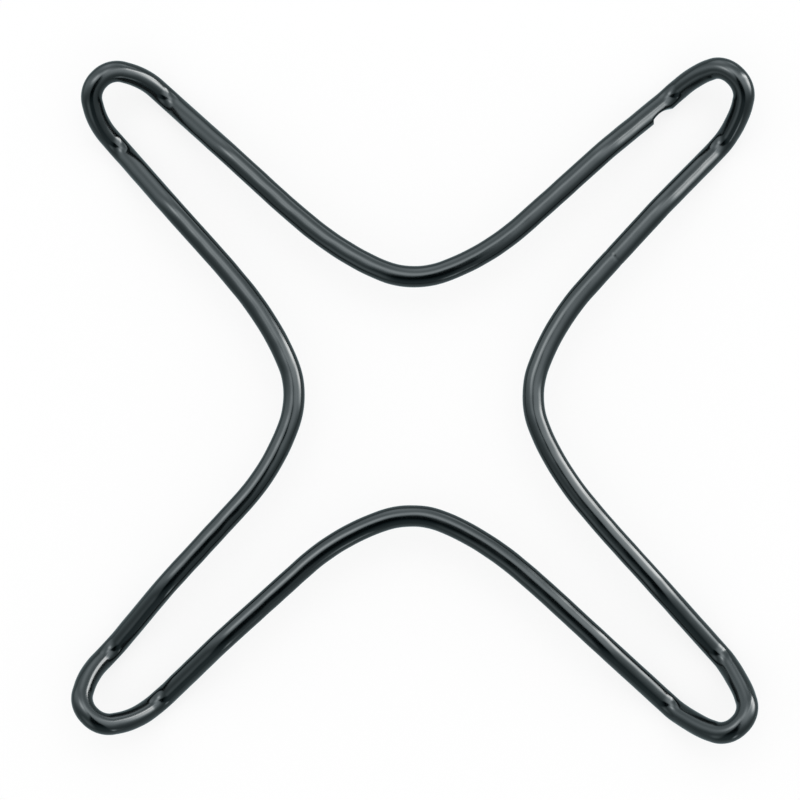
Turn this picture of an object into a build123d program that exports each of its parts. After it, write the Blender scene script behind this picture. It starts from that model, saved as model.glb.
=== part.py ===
from build123d import *
import os
from math import atan2, cos, hypot, radians, sin, tan

os.makedirs("parts", exist_ok=True)

# Round wire, enamel included
wire_diameter = 4.1
wire_radius = wire_diameter / 2

# Plan of one arm along +X, measured on the middle of the wire from the centre of the cross
arm_count = 4
tip_reach = 86.0
tip_length = 10.0
slope_length = 17.0
kink_reach = tip_reach - tip_length
soft_bend_reach = kink_reach - slope_length
leg_spacing = 13.5
leg_angle = radians(2.65)

# Inner bend between two neighbouring arms: a tight middle that opens into a wide flare on each side
inner_bend_reach = 22.8
inner_bend_radius = 16.5
inner_bend_turn = radians(19.5)

# Side profile of an arm: flat, down to the kink, then up to the tip
kink_drop = 6.7
tip_rise = 8.3
soft_bend_radius = 14.0
kink_inside_radius = 3.5
kink_radius = wire_radius + kink_inside_radius

# Bullet-shaped tip: curved flanks and a tight nose
flank_angle = radians(30.0)
nose_radius = 4.7

# Short straight run left between two neighbouring bends
straight = 0.15

# Butt weld that closes the wire, a shallow ring on one leg
weld_setback = 30.5
weld_reach = kink_reach - weld_setback
weld_width = 0.8
weld_depth = 0.05

# Nick in the inner side of one leg: a short slanted step at its inner end, then a scoop that fades out at the kink
nick_length = 5.0
nick_depth = 0.65
nick_step = 0.45
nick_setback = 1.5
nick_reach = kink_reach - nick_setback - nick_length

# Slopes of the two bent lengths
slope_angle = atan2(kink_drop, slope_length)
tip_angle = atan2(tip_rise, tip_length)


def leg_offset(reach):
    """Distance of a leg's middle from the arm's axis."""
    return leg_spacing / 2 + (kink_reach - reach) * tan(leg_angle)


def ahead(start, heading, run):
    """Point at a given run from a start point, level with it."""
    return (start[0] + run * cos(heading), start[1] + run * sin(heading))


# Corners of the inner bend, from the middle of the bend to the leg
half_sector = radians(180 / arm_count)
bend_heading = half_sector - radians(90)
flare_heading = bend_heading + inner_bend_turn
bend_middle = (inner_bend_reach * cos(half_sector), inner_bend_reach * sin(half_sector))
bend_run = inner_bend_radius * tan(inner_bend_turn / 2)
bend_corner = ahead(bend_middle, bend_heading, bend_run + straight)
flare_fall = bend_corner[1] - leg_offset(bend_corner[0])
flare_span = flare_fall / (-tan(flare_heading) - tan(leg_angle))
flare_corner = (bend_corner[0] + flare_span, leg_offset(bend_corner[0] + flare_span))
flare_run = flare_span / cos(flare_heading) - bend_run - straight
flare_radius = flare_run / tan((-flare_heading - leg_angle) / 2)

# Corners of the tip in its own sloping plane, measured from the kink
tip_slant = hypot(tip_length, tip_rise)
nose_run = nose_radius * tan((radians(90) - flank_angle) / 2)
nose_offset = nose_run + straight
flank_room = nose_offset + tip_slant * tan(flank_angle) - leg_offset(kink_reach)
flank_slant = flank_room / (tan(flank_angle) - tan(leg_angle))
flank_offset = leg_offset(kink_reach) - flank_slant * tan(leg_angle)
kink_run = kink_radius * tan((slope_angle + tip_angle) / 2)
run_before = flank_slant / cos(leg_angle) - kink_run
run_after = (tip_slant - flank_slant) / cos(flank_angle) - nose_run
flank_run = min(run_before, run_after) - straight
flank_radius = flank_run / tan((flank_angle - leg_angle) / 2)
flank_reach = kink_reach + flank_slant * cos(tip_angle)
flank_height = flank_slant * sin(tip_angle) - kink_drop
nose_height = tip_rise - kink_drop

# Half an arm, from the middle of an inner bend to the middle of the nose
with BuildPart() as half_arm:
    with BuildLine() as half_path:
        FilletPolyline(
            (bend_middle[0], bend_middle[1], 0),
            (bend_corner[0], bend_corner[1], 0),
            (flare_corner[0], flare_corner[1], 0),
            (soft_bend_reach, leg_offset(soft_bend_reach), 0),
            (kink_reach, leg_offset(kink_reach), -kink_drop),
            (flank_reach, flank_offset, flank_height),
            (tip_reach, nose_offset, nose_height),
            (tip_reach, 0, nose_height),
            radius=(
                inner_bend_radius,
                flare_radius,
                soft_bend_radius,
                kink_radius,
                flank_radius,
                nose_radius,
            ),
        )
    path = half_path.wire()
    with BuildSketch(Plane(origin=path @ 0, z_dir=path % 0)):
        Circle(wire_radius)
    sweep(path=path)

# Closed wire: every arm is two halves mirrored on the arm's axis
with BuildPart() as closed_wire:
    with PolarLocations(0, arm_count):
        add(half_arm.part)
        add(half_arm.part.mirror(Plane.XZ))

    # Weld ring on the leg of the +X arm that faces -Y
    weld_plane = Plane(
        origin=(weld_reach, -leg_offset(weld_reach), 0),
        z_dir=(cos(leg_angle), sin(leg_angle), 0),
    )
    with BuildSketch(weld_plane):
        Circle(wire_diameter)
        Circle(wire_radius - weld_depth, mode=Mode.SUBTRACT)
    extrude(amount=weld_width / 2, both=True, mode=Mode.SUBTRACT)

    # Nick in the other leg of the +X arm, cut in from the space between the legs
    nick_plane = Plane(
        origin=(nick_reach, leg_offset(nick_reach) - wire_radius, 0),
        x_dir=(cos(leg_angle), -sin(leg_angle), 0),
        z_dir=(0, 0, 1),
    )
    with BuildSketch(nick_plane):
        with BuildLine():
            Polyline(
                (nick_length, 0),
                (nick_length, -wire_radius),
                (0, -wire_radius),
                (0, 0),
                (nick_step, nick_step),
            )
            ThreePointArc(
                (nick_step, nick_step),
                ((nick_step + nick_length) / 2, nick_depth),
                (nick_length, 0),
            )
        make_face()
    extrude(amount=2 * kink_drop, both=True, mode=Mode.SUBTRACT)

# The part stands on its kinks, with the floor at Z = 0
with BuildPart() as wire_cross:
    with Locations((0, 0, -closed_wire.part.bounding_box().min.Z)):
        add(closed_wire.part)

wire_cross.part.label = "wire_cross"
export_step(wire_cross.part, "parts/wire_cross.step")
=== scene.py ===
from math import atan2, cos, hypot, pi, radians, sin, tan

import bpy
import numpy as np
from mathutils import Matrix, Vector


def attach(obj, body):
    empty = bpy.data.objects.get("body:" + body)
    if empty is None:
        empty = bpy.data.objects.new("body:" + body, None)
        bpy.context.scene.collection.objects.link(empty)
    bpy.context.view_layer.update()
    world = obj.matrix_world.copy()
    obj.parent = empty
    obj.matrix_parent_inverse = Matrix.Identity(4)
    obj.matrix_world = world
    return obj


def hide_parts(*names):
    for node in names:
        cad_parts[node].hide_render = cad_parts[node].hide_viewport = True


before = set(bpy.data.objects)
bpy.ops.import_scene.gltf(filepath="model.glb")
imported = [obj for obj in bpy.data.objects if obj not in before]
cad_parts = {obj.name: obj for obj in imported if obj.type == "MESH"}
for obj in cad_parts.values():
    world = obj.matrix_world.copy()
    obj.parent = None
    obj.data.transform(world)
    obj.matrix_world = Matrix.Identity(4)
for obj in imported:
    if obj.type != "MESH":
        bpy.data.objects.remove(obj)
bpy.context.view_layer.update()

# Sizes of the bent wire, in metres, as in the CAD part
WIRE_RADIUS = 0.00205
TIP_REACH = 0.0860
TIP_LENGTH = 0.0100
SLOPE_LENGTH = 0.0170
KINK_REACH = TIP_REACH - TIP_LENGTH
SOFT_BEND_REACH = KINK_REACH - SLOPE_LENGTH
LEG_SPACING = 0.0135
LEG_ANGLE = radians(2.65)
INNER_BEND_REACH = 0.0228
INNER_BEND_RADIUS = 0.0165
INNER_BEND_TURN = radians(19.5)
KINK_DROP = 0.0067
TIP_RISE = 0.0083
SOFT_BEND_RADIUS = 0.0140
KINK_INSIDE_RADIUS = 0.0035
KINK_RADIUS = WIRE_RADIUS + KINK_INSIDE_RADIUS
FLANK_ANGLE = radians(30.0)
NOSE_RADIUS = 0.0047
STRAIGHT = 0.00015

# Height of the wire's middle in the flat part, and the room that holds the legs of the +X arm
FLAT_HEIGHT = 0.00794
LEG_START = 0.030
LEG_LIMIT = 0.012

# Ring of the butt weld, shallower and with softer sides than in the CAD part
WELD_SETBACK = 0.0305
WELD_REACH = KINK_REACH - WELD_SETBACK
WELD_HALF_WIDTH = 0.00035
WELD_DEPTH = 0.000032

# Nick in the inner side of a leg, as in the CAD part but for the last three sizes: how far below the wire's
# top, in wire radii, it has its full depth, how much deeper it gets for each radius further down, and how
# round its edge is
NICK_LENGTH = 0.0050
NICK_DEPTH = 0.00065
NICK_STEP = 0.00045
NICK_SETBACK = 0.0015
NICK_REACH = KINK_REACH - NICK_SETBACK - NICK_LENGTH
NICK_EDGE = 0.55
NICK_UNDERCUT = 0.6
NICK_ROUNDING = 0.6

# How the +X, +Y, -X and -Y arms stray from the drawn one, since no two were bent quite alike: how much
# longer the tip is, by what share its flanks are drawn in, and how much further out the legs run just past
# the inner bends
TIP_GROWTH = (0.0, 0.0003, 0.0002, 0.0008)
TIP_SLIMMING = (0.060, 0.010, 0.020, 0.080)
LEG_SPREAD = (0.0001, 0.0004, 0.0, 0.00035)
SPREAD_END = 0.0460

# Waves in the enamel coat: how many, how high, and the range of their counts along and around the wire
WAVE_SEED = 5
WAVE_COUNT = 24
WAVE_HEIGHT = 0.000002
WAVES_ALONG = (50, 150)
WAVES_AROUND = (0, 4)

# Mesh of the wire: steps along it, with finer ones at the weld and the nick, and points around it
STEP = 0.0006
ARC_STEP = radians(2.0)
FEWEST_ON_ARC = 3
FINE_STEP = 0.00012
WELD_MARGIN = 0.0012
NICK_MARGIN = 0.0006
AROUND = 48

# Black enamel: clouds of colour, uneven gloss and fine ripples, each with its noise's scale and detail
ENAMEL_IOR = 1.5
ENAMEL_DARK = (0.0002, 0.0010, 0.0013)
ENAMEL_PALE = (0.0006, 0.0019, 0.0024)
ENAMEL_ROUGHNESS = (0.12, 0.17)
CLOUD_NOISE = (70.0, 4.0)
GLOSS_NOISE = (260.0, 5.0)
RIPPLE_NOISE = (300.0, 2.0)
NOISE_RANGE = (0.3, 0.7)
RIPPLE_STRENGTH = 0.02
RIPPLE_HEIGHT = 0.0004

# Directions of the photograph: right and up in the picture lie between the arms
PICTURE_TURN = -pi / 4
PICTURE_RIGHT = Vector((cos(PICTURE_TURN), sin(PICTURE_TURN), 0))
PICTURE_UP = Vector((-sin(PICTURE_TURN), cos(PICTURE_TURN), 0))

# Light tent seen in the gloss. Its lights were fitted by a separate program to the photograph's reflections,
# traced back off the wire, and then rounded, so the words beside them say where each lies and not what it
# was. Each has its bearing from the picture's right towards its up and its height above the floor, in
# degrees, then how far it spreads, how much narrower it is from side to side, and its strength
TENT_RADIUS = 0.55
TENT_RINGS = 24
TENT_SECTORS = 48
TENT_LEVEL = 0.48
TENT_LIGHTS = (
    (19, 15, 0.28, 0, 13.0),    # bright, low on the right
    (35, 1, 0.60, 150, 12.0),   # bright strip at the floor, right of the top right
    (39, 26, 0.08, 60, 7.0),    # small, above the strip
    (67, 8, 0.21, 0, 2.2),      # faint, low at the top right
    (101, 21, 0.42, 0, 2.4),    # faint, low at the top
    (157, 39, 0.90, 5, 1.9),    # faint and wide, on the left
    (146, 62, 0.23, 13, 5.7),   # high on the left
    (87, 66, 0.25, 0, 3.4),     # high at the top
    (20, 54, 0.52, 0, 3.0),     # soft, high on the right
    (-71, 8, 0.15, 14, 4.7),    # small, low at the bottom
    (-130, 25, 0.25, 0, 1.0),   # faint, at the bottom left
)

# Colour of the tent's light by its brightness: cool where it is dim, neutral where it is bright
TENT_BRIGHTEST = 12.0
TENT_COLOURS = (
    (0.00, (0.60, 1.00, 1.12)),
    (0.05, (0.79, 1.00, 1.05)),
    (0.20, (0.86, 1.00, 1.05)),
    (0.90, (0.97, 1.00, 1.00)),
)

# Dark opening of the tent at the camera, fitted and rounded in the same way, in parts of the tent's radius:
# half its width at its top, where that top is, how it widens from there towards the picture's bottom and to
# what at most, how soft its edge is, and over what range its first level fades into its second
OPENING_WIDTH = 0.08
OPENING_TOP = 0.02
OPENING_WIDENING = 0.6
OPENING_WIDEST = 0.34
OPENING_EDGE = 0.09
OPENING_FADE = (-0.5, -0.92)
OPENING_LEVELS = (0.0, 0.43)

# Floor: half its side, its paper, its colours to the camera and in the gloss, and its share of glow there.
# The colour in the gloss is a painted shade: the enamel reflects the floor as a dim cool grey, which darkens
# the wire's rims
FLOOR_REACH = 4.0
PAPER_COLOUR = (0.93, 0.93, 0.93, 1)
PAPER_ROUGHNESS = 0.9
PAPER_SPECULAR = 0.1
FLOOR_TO_CAMERA = (1.0, 1.0, 1.0)
FLOOR_SHADE_IN_GLOSS = (0.37, 0.53, 0.57)
FLOOR_GLOW = 0.8

# White surroundings: strength as light on the object, and as seen
WORLD_COLOUR = (1, 1, 1, 1)
WORLD_STRENGTH = (0.95, 1.0)

# Soft lamp above, on the side of the picture's top
LAMP_SIZE = (2.0, 1.2)
LAMP_POWER = 6.0
LAMP_PLACE = (0.2, 0.9, 1.6)

# Camera over the middle, leaning slightly, fitted to the photograph's outline; the shift is in its pixels
CAMERA_ROLL = radians(-0.125)
CAMERA_LEAN_X = radians(-4.166)
CAMERA_LEAN_Y = radians(-4.176)
CAMERA_DISTANCE = 0.5
CAMERA_NEAREST = 0.01
SENSOR_WIDTH = 36.0
PICTURE_SIZE = 800
PIXELS_PER_METRE = 5260.125
PICTURE_SHIFT = (-13.25, -4.08)


def leg_offset(reach):
    """Distance of a leg's middle from the arm's axis."""
    return LEG_SPACING / 2 + (KINK_REACH - reach) * tan(LEG_ANGLE)


def inner_bend_corners():
    """Corner points and radii of the inner bend and its flare, from the middle of the bend to the leg."""
    heading = -pi / 4
    flare_heading = heading + INNER_BEND_TURN
    start = INNER_BEND_REACH * cos(pi / 4)
    bend_run = INNER_BEND_RADIUS * tan(INNER_BEND_TURN / 2)
    bend_x = start + (bend_run + STRAIGHT) * cos(heading)
    bend_y = start + (bend_run + STRAIGHT) * sin(heading)
    flare_span = (bend_y - leg_offset(bend_x)) / (-tan(flare_heading) - tan(LEG_ANGLE))
    flare_run = flare_span / cos(flare_heading) - bend_run - STRAIGHT
    flare_radius = flare_run / tan((-flare_heading - LEG_ANGLE) / 2)
    flare_x = bend_x + flare_span
    corners = [(start, start, 0.0), (bend_x, bend_y, 0.0), (flare_x, leg_offset(flare_x), 0.0)]
    return corners, [INNER_BEND_RADIUS, flare_radius]


def tip_corners():
    """Corner points past the kink and radii of the bullet-shaped tip, in its own sloping plane."""
    slope = atan2(KINK_DROP, SLOPE_LENGTH)
    rise = atan2(TIP_RISE, TIP_LENGTH)
    slant = hypot(TIP_LENGTH, TIP_RISE)
    nose_run = NOSE_RADIUS * tan((pi / 2 - FLANK_ANGLE) / 2)
    nose_y = nose_run + STRAIGHT
    nose_z = TIP_RISE - KINK_DROP
    flank_room = nose_y + slant * tan(FLANK_ANGLE) - leg_offset(KINK_REACH)
    flank = flank_room / (tan(FLANK_ANGLE) - tan(LEG_ANGLE))
    flank_x = KINK_REACH + flank * cos(rise)
    flank_y = leg_offset(KINK_REACH) - flank * tan(LEG_ANGLE)
    flank_z = flank * sin(rise) - KINK_DROP
    kink_run = KINK_RADIUS * tan((slope + rise) / 2)
    room = min(flank / cos(LEG_ANGLE) - kink_run, (slant - flank) / cos(FLANK_ANGLE) - nose_run)
    flank_radius = (room - STRAIGHT) / tan((FLANK_ANGLE - LEG_ANGLE) / 2)
    corners = [(flank_x, flank_y, flank_z), (TIP_REACH, nose_y, nose_z), (TIP_REACH, 0.0, nose_z)]
    return corners, [flank_radius, NOSE_RADIUS]


def half_arm_corners():
    """Corner points and bend radii of half an arm along +X, from an inner bend to the nose."""
    bend_corners, bend_radii = inner_bend_corners()
    end_corners, end_radii = tip_corners()
    leg_corners = [
        (SOFT_BEND_REACH, leg_offset(SOFT_BEND_REACH), 0.0),
        (KINK_REACH, leg_offset(KINK_REACH), -KINK_DROP),
    ]
    leg_radii = [SOFT_BEND_RADIUS, KINK_RADIUS]
    return np.array(bend_corners + leg_corners + end_corners), bend_radii + leg_radii + end_radii


def straight_points(start, end):
    """Evenly spaced points after a start point, up to and with an end point."""
    count = max(1, int(np.linalg.norm(end - start) / STEP))
    return [start + (end - start) * (i + 1) / count for i in range(count)]


def rounded(corners, radii):
    """Points along a run of corners with each inner corner rounded to its own radius."""
    points = [corners[0]]
    for index, radius in enumerate(radii, start=1):
        corner = corners[index]
        back = corners[index - 1] - corner
        back = back / np.linalg.norm(back)
        on = corners[index + 1] - corner
        on = on / np.linalg.norm(on)
        turn = pi - np.arccos(back @ on)
        start = corner + back * radius * tan(turn / 2)
        middle = (back + on) / np.linalg.norm(back + on)
        centre = corner + middle * radius / cos(turn / 2)
        points += straight_points(points[-1], start)
        count = max(FEWEST_ON_ARC, int(max(radius * turn / STEP, turn / ARC_STEP)))
        across = (start - centre) / radius
        for i in range(count):
            angle = turn * (i + 1) / count
            points.append(centre + radius * (across * cos(angle) - back * sin(angle)))
    points += straight_points(points[-1], corners[-1])
    return np.array(points)


def refined(path):
    """Closed path with more points where the +X arm has its weld and its nick."""
    points = []
    for point, following in zip(path, np.roll(path, -1, axis=0)):
        reach, offset, _ = (point + following) / 2
        from_nick = abs(reach - NICK_REACH - NICK_LENGTH / 2)
        near_nick = from_nick < NICK_LENGTH / 2 + NICK_MARGIN and 0 < offset < LEG_LIMIT
        near_weld = abs(reach - WELD_REACH) < WELD_MARGIN and -LEG_LIMIT < offset < 0
        count = 1
        if near_weld or near_nick:
            count = max(1, round(np.linalg.norm(following - point) / FINE_STEP))
        points += [point + (following - point) * i / count for i in range(count)]
    return np.array(points)


def wire_path():
    """Middle of the closed wire: four arms, each with its strays, that stand on the floor by their kinks."""
    half = rounded(*half_arm_corners())
    arm = np.concatenate([half[:-1] * (1, -1, 1), half[::-1]])[:-1]
    reach, offset, height = arm.T
    past_kink = np.clip((reach - KINK_REACH) / TIP_LENGTH, 0, 1)
    past_bend = np.clip((reach - reach.min()) / (SPREAD_END - reach.min()), 0, 1)
    arms = []
    for quarter, (growth, slimming, spread) in enumerate(zip(TIP_GROWTH, TIP_SLIMMING, LEG_SPREAD)):
        cosine, sine = cos(quarter * pi / 2), sin(quarter * pi / 2)
        turn = np.array([(cosine, -sine, 0), (sine, cosine, 0), (0, 0, 1)])
        strayed_reach = reach + growth * past_kink ** 2
        strayed_offset = offset * (1 - slimming * np.sin(pi * past_kink) ** 2)
        strayed_offset += spread * np.sign(offset) * np.sin(pi * past_bend) ** 2
        arms.append(np.column_stack((strayed_reach, strayed_offset, height)) @ turn.T)
    path = refined(np.concatenate(arms))
    path[:, 2] += WIRE_RADIUS - path[:, 2].min()
    return path


def on_leg(path, side):
    """Which points of the path lie on the leg of the +X arm on one side of its axis, +1 or -1."""
    reach, offset, _ = path.T
    return (reach > LEG_START) & (np.abs(offset) < LEG_LIMIT) & (side * offset > 0)


def coated_radius(path, angle):
    """Radius of the wire by path point and angle, with the coat's waves and the weld on the -Y leg."""
    radius = np.full((len(path), AROUND), WIRE_RADIUS)
    run = np.linalg.norm(path - np.roll(path, 1, axis=0), axis=1).cumsum()
    run *= 2 * pi / run[-1]
    chance = np.random.default_rng(WAVE_SEED)
    for _ in range(WAVE_COUNT):
        waves = chance.integers(*WAVES_ALONG)
        turns = chance.integers(*WAVES_AROUND)
        phase = chance.uniform(0, 2 * pi)
        radius += WAVE_HEIGHT * np.sin(waves * run[:, None] + turns * angle[None, :] + phase)
    weld = np.exp(-((path[:, 0] - WELD_REACH) / WELD_HALF_WIDTH) ** 2)
    return radius - WELD_DEPTH * np.where(on_leg(path, -1), weld, 0.0)[:, None]


def wire_rings(path):
    """Ring of points around each point of the path."""
    tangent = np.roll(path, -1, axis=0) - np.roll(path, 1, axis=0)
    tangent /= np.linalg.norm(tangent, axis=1)[:, None]
    side = np.cross(tangent, (0.0, 0.0, 1.0))
    side /= np.linalg.norm(side, axis=1)[:, None]
    upper = np.cross(side, tangent)
    angle = np.arange(AROUND) * 2 * pi / AROUND
    upward = np.cos(angle)[None, :, None] * upper[:, None, :]
    sideways = np.sin(angle)[None, :, None] * side[:, None, :]
    return path[:, None, :] + coated_radius(path, angle)[:, :, None] * (upward + sideways)


def nicked(rings, path):
    """Rings with the nick in the inner side of the +Y leg: a slanted step, then a scoop that fades out."""
    along_leg = np.array((cos(LEG_ANGLE), -sin(LEG_ANGLE), 0))
    into_leg = np.array((sin(LEG_ANGLE), cos(LEG_ANGLE), 0))
    from_nick = rings - (NICK_REACH, leg_offset(NICK_REACH) - WIRE_RADIUS, 0)
    along = from_nick @ along_leg
    share = (along - NICK_STEP) / (NICK_LENGTH - NICK_STEP)
    scoop = NICK_STEP * (1 - share) + (4 * NICK_DEPTH - 2 * NICK_STEP) * share * (1 - share)
    depth = np.clip(np.minimum(along, scoop), 0, None)
    below_top = (path[:, None, 2] + WIRE_RADIUS - rings[:, :, 2]) / WIRE_RADIUS
    depth *= 1 + NICK_UNDERCUT * (below_top - NICK_EDGE)
    in_nick = (along > 0) & (along < NICK_LENGTH) & on_leg(path, 1)[:, None]
    short = depth - from_nick @ into_leg
    blend = NICK_ROUNDING * depth
    moved = np.where(in_nick, (short + np.sqrt(short ** 2 + blend ** 2)) / 2, 0.0)
    return rings + moved[:, :, None] * into_leg


def ring_faces(rings, around, closed):
    """Faces between neighbouring rings of points, and between the last and the first where they close."""
    first = np.arange(rings if closed else rings - 1)[:, None]
    ring = first * around
    following = (first + 1) % rings * around
    spot = np.arange(around)[None, :]
    beside = (spot + 1) % around
    corners = [ring + spot, ring + beside, following + beside, following + spot]
    return np.stack(corners, axis=-1).reshape(-1, 4).tolist()


def add_mesh(name, points, faces):
    """New mesh object in the scene."""
    mesh = bpy.data.meshes.new(name)
    mesh.from_pydata(points, [], faces)
    mesh.validate()
    mesh.update()
    piece = bpy.data.objects.new(name, mesh)
    bpy.context.scene.collection.objects.link(piece)
    return piece


def build_wire():
    """Closed wire as one fine mesh."""
    path = wire_path()
    rings = nicked(wire_rings(path), path)
    piece = add_mesh("enamelled_wire", rings.reshape(-1, 3).tolist(), ring_faces(len(path), AROUND, True))
    piece.data.polygons.foreach_set("use_smooth", [True] * len(piece.data.polygons))
    piece.data.update()
    return piece


def feed(tree, socket, value):
    """Gives a socket its value: another node's output, or a plain number or vector."""
    if isinstance(value, bpy.types.NodeSocket):
        tree.links.new(value, socket)
    else:
        socket.default_value = value


def arithmetic(tree, kind, operation, values):
    """Node of arithmetic on the given values."""
    node = tree.nodes.new(kind)
    node.operation = operation
    for socket, value in zip(node.inputs, values):
        feed(tree, socket, value)
    return node


def number(tree, operation, *values):
    """Number worked out from numbers."""
    return arithmetic(tree, "ShaderNodeMath", operation, values).outputs["Value"]


def vector(tree, operation, *values):
    """Vector worked out from vectors."""
    return arithmetic(tree, "ShaderNodeVectorMath", operation, values).outputs["Vector"]


def measure(tree, operation, *values):
    """Number worked out from vectors."""
    return arithmetic(tree, "ShaderNodeVectorMath", operation, values).outputs["Value"]


def remapped(tree, value, source, target, interpolation="LINEAR"):
    """Number carried from one range to another."""
    node = tree.nodes.new("ShaderNodeMapRange")
    node.interpolation_type = interpolation
    for name, end in zip(("From Min", "From Max", "To Min", "To Max"), (*source, *target)):
        feed(tree, node.inputs[name], end)
    feed(tree, node.inputs["Value"], value)
    return node.outputs["Result"]


def graded(tree, value, stops):
    """Colour that a number picks from a row of stops, each with its position and colour."""
    node = tree.nodes.new("ShaderNodeValToRGB")
    elements = node.color_ramp.elements
    for index, (position, colour) in enumerate(stops):
        element = elements[index] if index < 2 else elements.new(position)
        element.position = position
        element.color = (*colour, 1)
    feed(tree, node.inputs["Fac"], value)
    return node.outputs["Color"]


def surface_noise(tree, scale, detail):
    """Noise that is fixed to the object."""
    coords = tree.nodes.new("ShaderNodeTexCoord")
    noise = tree.nodes.new("ShaderNodeTexNoise")
    noise.inputs["Scale"].default_value = scale
    noise.inputs["Detail"].default_value = detail
    feed(tree, noise.inputs["Vector"], coords.outputs["Object"])
    return noise.outputs["Fac"]


def new_material(name):
    """New material with its node tree."""
    material = bpy.data.materials.new(name)
    material.use_nodes = True
    return material, material.node_tree


def enamel_material():
    """Glossy black vitreous enamel: almost black with a cool cast, slightly uneven in gloss and surface."""
    material, tree = new_material("black_enamel")
    shader = tree.nodes["Principled BSDF"]
    shader.inputs["IOR"].default_value = ENAMEL_IOR
    clouds = surface_noise(tree, *CLOUD_NOISE)
    colour = graded(tree, clouds, zip(NOISE_RANGE, (ENAMEL_DARK, ENAMEL_PALE)))
    feed(tree, shader.inputs["Base Color"], colour)
    roughness = remapped(tree, surface_noise(tree, *GLOSS_NOISE), NOISE_RANGE, ENAMEL_ROUGHNESS)
    feed(tree, shader.inputs["Roughness"], roughness)
    bump = tree.nodes.new("ShaderNodeBump")
    bump.inputs["Strength"].default_value = RIPPLE_STRENGTH
    bump.inputs["Distance"].default_value = RIPPLE_HEIGHT
    feed(tree, bump.inputs["Height"], surface_noise(tree, *RIPPLE_NOISE))
    feed(tree, shader.inputs["Normal"], bump.outputs["Normal"])
    return material


def light_level(tree, direction):
    """Brightness of the tent in a direction: an even level and the glow of each light."""
    level = TENT_LEVEL
    for bearing, height, spread, narrowing, strength in TENT_LIGHTS:
        turn, tilt = radians(bearing), radians(height)
        place = (cos(tilt) * cos(turn), cos(tilt) * sin(turn), sin(tilt))
        apart = vector(tree, "SUBTRACT", direction, place)
        sideways = measure(tree, "DOT_PRODUCT", apart, (-sin(turn), cos(turn), 0))
        fall = number(tree, "POWER", number(tree, "DIVIDE", measure(tree, "LENGTH", apart), spread), 2.0)
        narrow = number(tree, "MULTIPLY", number(tree, "MULTIPLY", sideways, sideways), narrowing)
        glow = number(tree, "EXPONENT", number(tree, "MULTIPLY", number(tree, "ADD", fall, narrow), -1.0))
        level = number(tree, "ADD", number(tree, "MULTIPLY", glow, strength), level)
    return level


def with_opening(tree, direction, level):
    """Brightness of the tent with its dark opening at the camera."""
    parts = tree.nodes.new("ShaderNodeSeparateXYZ")
    feed(tree, parts.inputs["Vector"], direction)
    right, up = parts.outputs["X"], parts.outputs["Y"]
    widened = number(tree, "MULTIPLY", number(tree, "SUBTRACT", OPENING_TOP, up), OPENING_WIDENING)
    width = number(tree, "MINIMUM", number(tree, "ADD", widened, OPENING_WIDTH), OPENING_WIDEST)
    outside = number(tree, "SUBTRACT", number(tree, "ABSOLUTE", right), width)
    shade = remapped(tree, up, OPENING_FADE, OPENING_LEVELS)
    return remapped(tree, outside, (-OPENING_EDGE, OPENING_EDGE), (shade, level), "SMOOTHSTEP")


def tent_material():
    """Glow of the light tent, by direction from the middle of the floor."""
    material, tree = new_material("light_tent")
    tree.nodes.remove(tree.nodes["Principled BSDF"])
    coords = tree.nodes.new("ShaderNodeTexCoord")
    direction = vector(tree, "NORMALIZE", coords.outputs["Object"])
    level = with_opening(tree, direction, light_level(tree, direction))
    brightness = remapped(tree, level, (0.0, TENT_BRIGHTEST), (0.0, 1.0))
    emission = tree.nodes.new("ShaderNodeEmission")
    feed(tree, emission.inputs["Color"], graded(tree, brightness, TENT_COLOURS))
    feed(tree, emission.inputs["Strength"], level)
    feed(tree, tree.nodes["Material Output"].inputs["Surface"], emission.outputs["Emission"])
    return material


def build_tent():
    """Dome around the object, seen only in the gloss of the enamel."""
    points = []
    for ring in range(TENT_RINGS + 1):
        tilt = pi / 2 * ring / TENT_RINGS
        for sector in range(TENT_SECTORS):
            turn = 2 * pi * sector / TENT_SECTORS
            place = Vector((sin(tilt) * cos(turn), sin(tilt) * sin(turn), cos(tilt)))
            points.append(place * TENT_RADIUS)
    tent = add_mesh("light_tent", points, ring_faces(TENT_RINGS + 1, TENT_SECTORS, False))
    tent.rotation_euler = (0, 0, PICTURE_TURN)
    tent.visible_camera = False
    tent.visible_diffuse = False
    tent.visible_shadow = False
    tent.visible_transmission = False
    tent.data.materials.append(tent_material())
    return tent


def seen_directly(tree, light_path):
    """One for rays from the camera, or off gloss or through glass, else nothing."""
    seen = light_path.outputs["Is Camera Ray"]
    for name in ("Is Glossy Ray", "Is Transmission Ray"):
        seen = number(tree, "MAXIMUM", seen, light_path.outputs[name])
    return seen


def floor_material():
    """White paper that stays white to the camera, is painted dimmer and cooler in the gloss as shade in the
    wire's reflections, and keeps the shadow.
    """
    material, tree = new_material("white_paper")
    sheet = tree.nodes["Principled BSDF"]
    sheet.inputs["Base Color"].default_value = PAPER_COLOUR
    sheet.inputs["Roughness"].default_value = PAPER_ROUGHNESS
    sheet.inputs["Specular IOR Level"].default_value = PAPER_SPECULAR
    light_path = tree.nodes.new("ShaderNodeLightPath")
    white = tree.nodes.new("ShaderNodeEmission")
    # Painted shade: in the gloss the floor glows a dim cool grey instead of white, so the wire's reflections
    # of it are darker
    white_and_painted_shade = ((0.0, FLOOR_TO_CAMERA), (1.0, FLOOR_SHADE_IN_GLOSS))
    feed(tree, white.inputs["Color"], graded(tree, light_path.outputs["Is Glossy Ray"], white_and_painted_shade))
    mixed = tree.nodes.new("ShaderNodeMixShader")
    feed(tree, mixed.inputs["Fac"], number(tree, "MULTIPLY", seen_directly(tree, light_path), FLOOR_GLOW))
    feed(tree, mixed.inputs[1], sheet.outputs["BSDF"])
    feed(tree, mixed.inputs[2], white.outputs["Emission"])
    feed(tree, tree.nodes["Material Output"].inputs["Surface"], mixed.outputs["Shader"])
    return material


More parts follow.
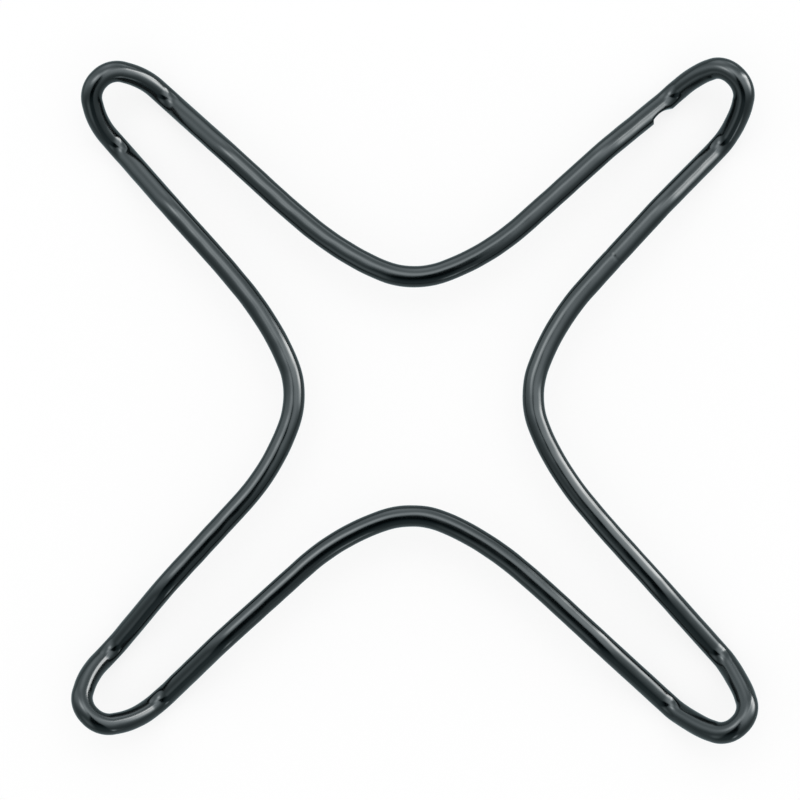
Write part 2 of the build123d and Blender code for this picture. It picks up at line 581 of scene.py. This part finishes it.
def build_floor():
    """Pale floor under the object."""
    near, far = -FLOOR_REACH, FLOOR_REACH
    corners = [(near, near, 0), (far, near, 0), (far, far, 0), (near, far, 0)]
    floor = add_mesh("floor", corners, [(0, 1, 2, 3)])
    floor.data.materials.append(floor_material())
    return floor


def light_world():
    """White surroundings."""
    world = bpy.data.worlds.new("studio")
    bpy.context.scene.world = world
    world.use_nodes = True
    tree = world.node_tree
    background = tree.nodes["Background"]
    background.inputs["Color"].default_value = WORLD_COLOUR
    seen = seen_directly(tree, tree.nodes.new("ShaderNodeLightPath"))
    feed(tree, background.inputs["Strength"], remapped(tree, seen, (0.0, 1.0), WORLD_STRENGTH))


def hang_lamp():
    """Soft lamp that lights the object from above and doesn't show in its gloss."""
    right, up, height = LAMP_PLACE
    light = bpy.data.lights.new("soft_lamp", "AREA")
    light.shape = "RECTANGLE"
    light.size, light.size_y = LAMP_SIZE
    light.energy = LAMP_POWER
    lamp = bpy.data.objects.new("soft_lamp", light)
    lamp.location = PICTURE_RIGHT * right + PICTURE_UP * up + Vector((0, 0, height))
    lamp.rotation_euler = (-lamp.location).to_track_quat("-Z", "Y").to_euler()
    lamp.visible_glossy = False
    bpy.context.scene.collection.objects.link(lamp)


def place_camera():
    """Camera at the photograph's view, aimed at the flat middle of the wire."""
    lean = Matrix.Rotation(CAMERA_LEAN_Y, 3, "Y") @ Matrix.Rotation(CAMERA_LEAN_X, 3, "X")
    stand = (lean @ Matrix.Rotation(CAMERA_ROLL - PICTURE_TURN, 3, "Z")).transposed()
    place = Vector((0, 0, FLAT_HEIGHT)) + stand @ Vector((0, 0, CAMERA_DISTANCE))
    optics = bpy.data.cameras.new("camera")
    optics.sensor_width = SENSOR_WIDTH
    optics.lens = SENSOR_WIDTH * PIXELS_PER_METRE * CAMERA_DISTANCE / PICTURE_SIZE
    optics.shift_x = PICTURE_SHIFT[0] / PICTURE_SIZE
    optics.shift_y = PICTURE_SHIFT[1] / PICTURE_SIZE
    optics.clip_start = CAMERA_NEAREST
    camera = bpy.data.objects.new("camera", optics)
    camera.matrix_world = Matrix.Translation(place) @ stand.to_4x4()
    bpy.context.scene.collection.objects.link(camera)
    bpy.context.scene.camera = camera


wire = build_wire()
wire.data.materials.append(enamel_material())
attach(wire, "root")
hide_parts("wire_cross")

floor = build_floor()
light_world()
hang_lamp()
tent = build_tent()
place_camera()

bpy.context.scene.view_settings.view_transform = "Standard"
